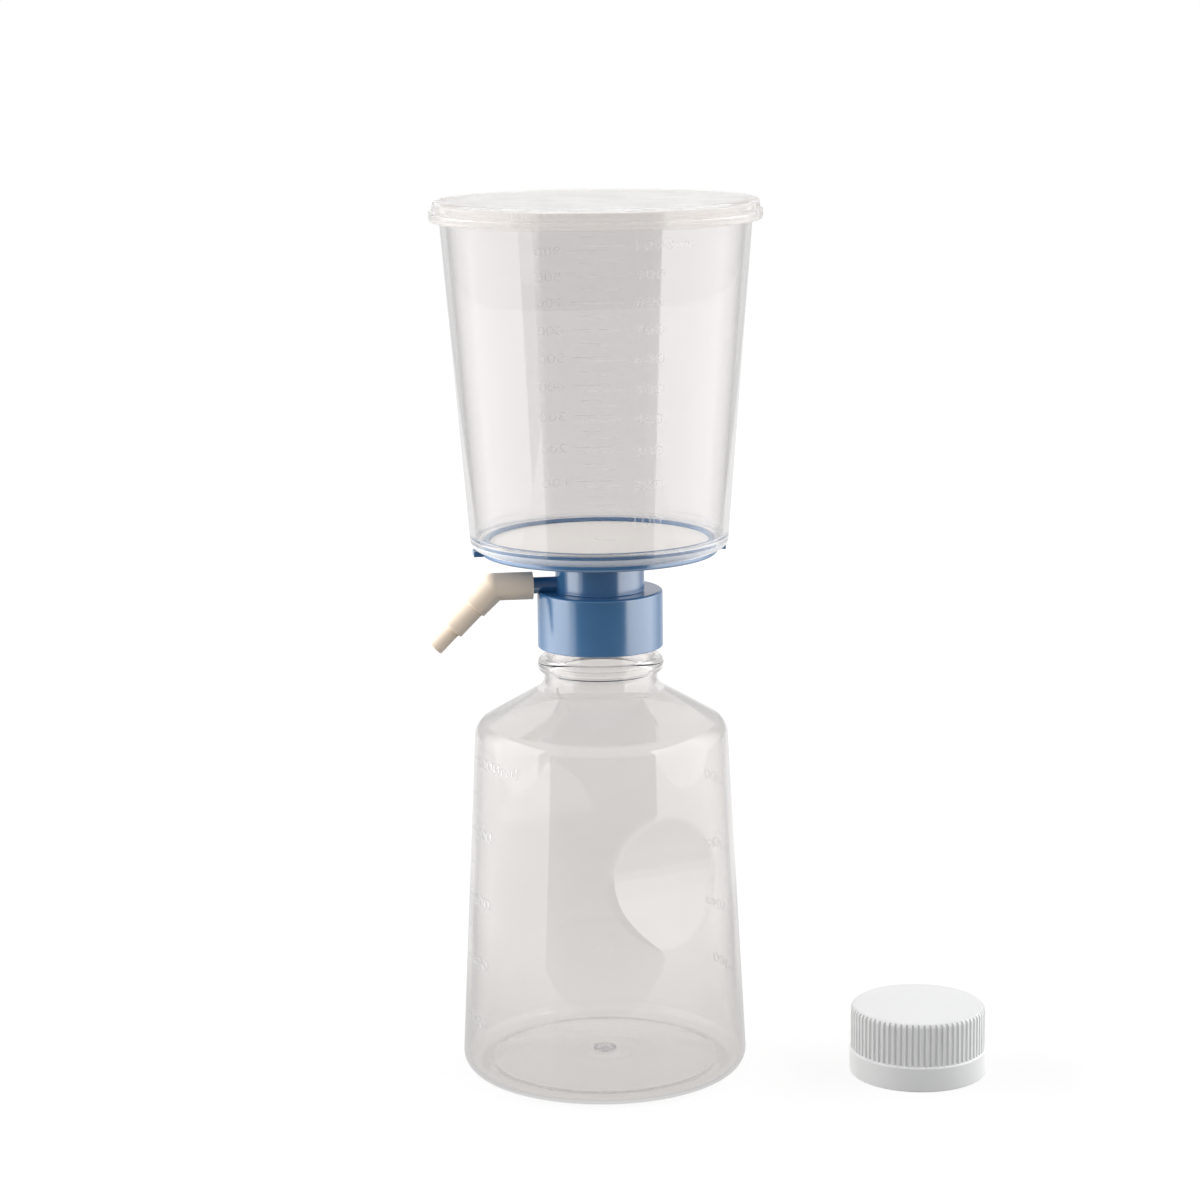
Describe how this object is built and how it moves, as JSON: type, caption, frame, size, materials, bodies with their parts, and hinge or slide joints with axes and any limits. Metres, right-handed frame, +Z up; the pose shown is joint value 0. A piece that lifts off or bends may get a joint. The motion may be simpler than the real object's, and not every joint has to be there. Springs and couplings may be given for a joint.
{
  "type": "vacuum filtration unit",
  "caption": "Clear graduated funnel with a lid on a blue membrane base, screwed onto a clear receiver bottle, with a stepped hose adapter on its vacuum port and a ribbed screw cap beside it.",
  "frame": {"origin": "centre of the bottle's base, on the surface it stands on", "axes": "+Z up along the unit's axis; the vacuum port points to -X"},
  "size_m": [0.2129, 0.1264, 0.3411],
  "materials": {
    "bottle_clear": "clear moulded plastic, polished",
    "funnel_clear": "clear moulded plastic, polished",
    "lid_clear": "thin clear plastic, slightly milky",
    "base_blue": "glossy moulded blue plastic",
    "adapter_cream": "smooth cream plastic",
    "membrane_sheet": "matte white membrane",
    "seal_foam": "soft white foam",
    "cotton": "loose cotton",
    "cap_white": "satin white plastic"
  },
  "bodies": {
    "bottle": {"bottle": "bottle_clear", "storage_cap": "cap_white"},
    "seal": {"mouth_seal": "seal_foam"},
    "head": {"filter_base": "base_blue", "membrane": "membrane_sheet", "funnel": "funnel_clear", "port_plug": "cotton"},
    "lid": {"lid": "lid_clear"},
    "adapter": {"hose_adapter": "adapter_cream"}
  },
  "joints": [
    {"name": "head_rise", "type": "slide", "parent": "bottle", "child": "seal", "axis": [0, 0, 1], "range_m": [0, 0.006]},
    {"name": "head_turn", "type": "hinge", "parent": "seal", "child": "head", "pos_m": [0, 0, 0.19107], "axis": [0, 0, 1], "range_deg": [0, 541]},
    {"name": "lid_lift", "type": "slide", "parent": "head", "child": "lid", "axis": [0, 0, 1], "range_m": [0, 0.03]},
    {"name": "adapter_turn", "type": "hinge", "parent": "head", "child": "adapter", "pos_m": [-0.032, 0, 0.19337], "axis": [-1, 0, 0], "range_deg": [-120, 120]}
  ],
  "couplings": [
    {"joint": "head_turn", "follows": "head_rise", "rad_per_m": 1570.8}
  ]
}
